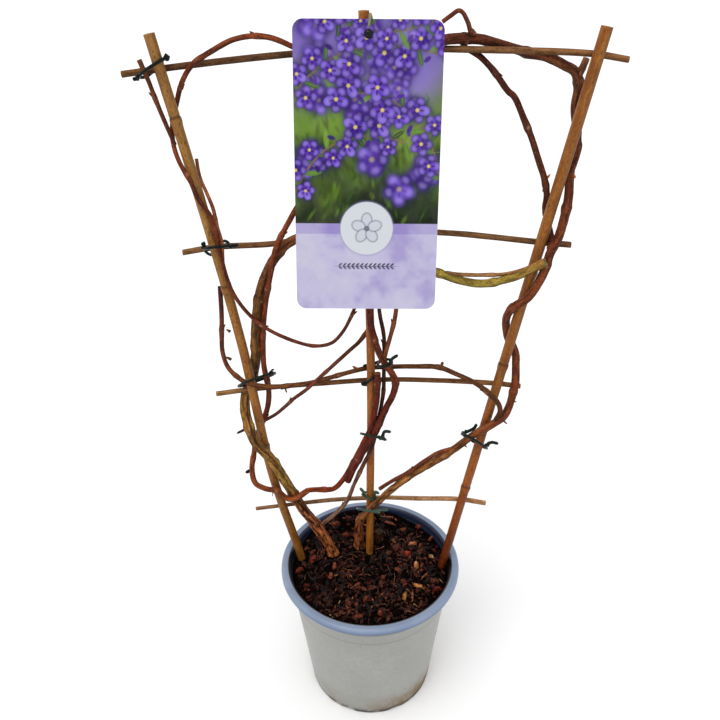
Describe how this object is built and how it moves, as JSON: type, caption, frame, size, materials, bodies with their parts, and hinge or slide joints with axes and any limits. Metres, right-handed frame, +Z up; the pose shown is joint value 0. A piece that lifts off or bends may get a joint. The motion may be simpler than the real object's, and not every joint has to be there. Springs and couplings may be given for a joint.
{
  "type": "potted climbing plant",
  "caption": "Dormant, leafless wisteria twined on a bamboo fan trellis in a tapered plastic nursery pot filled with bark compost, with wire ties and a hanging picture card.",
  "frame": {"origin": "centre of the pot's flat underside, on its centre pad", "axes": "+Z up along the pot's axis; +X to the right along the trellis; -Y towards the front, the side the card faces"},
  "size_m": [0.3491, 0.17, 0.63],
  "materials": {
    "pot_plastic": "smooth pale grey moulded plastic, lightly soiled",
    "compost": "loose dark bark compost, dull",
    "bamboo": "natural bamboo skin, satin",
    "stained_bamboo": "bamboo skin stained red-brown, satin",
    "split_wood": "split weathered stick, dull",
    "left_bark": "red-brown and olive woody bark, dull",
    "right_bark": "brown woody bark, dull",
    "tie_plastic": "dark green plastic coat on wire",
    "card_stock": "printed glossy card",
    "button_plastic": "black moulded plastic"
  },
  "bodies": {
    "root": {"pot": "pot_plastic", "soil": "compost", "cane_left": "bamboo", "cane_centre": "bamboo", "cane_right": "stained_bamboo", "crossbar_1": "split_wood", "crossbar_2": "split_wood", "crossbar_3": "split_wood", "crossbar_4": "split_wood", "vine_left": "left_bark", "vine_right": "right_bark", "tie_top_left": "tie_plastic", "tie_upper_left": "tie_plastic", "tie_lower_left": "tie_plastic", "tie_centre": "tie_plastic", "tie_knot": "tie_plastic", "tie_bundle": "tie_plastic", "tie_bottom_bar": "tie_plastic", "tie_trunk": "tie_plastic", "tie_right": "tie_plastic", "label_card": "card_stock", "label_button": "button_plastic", "label_wire": "tie_plastic"}
  },
  "joints": []
}
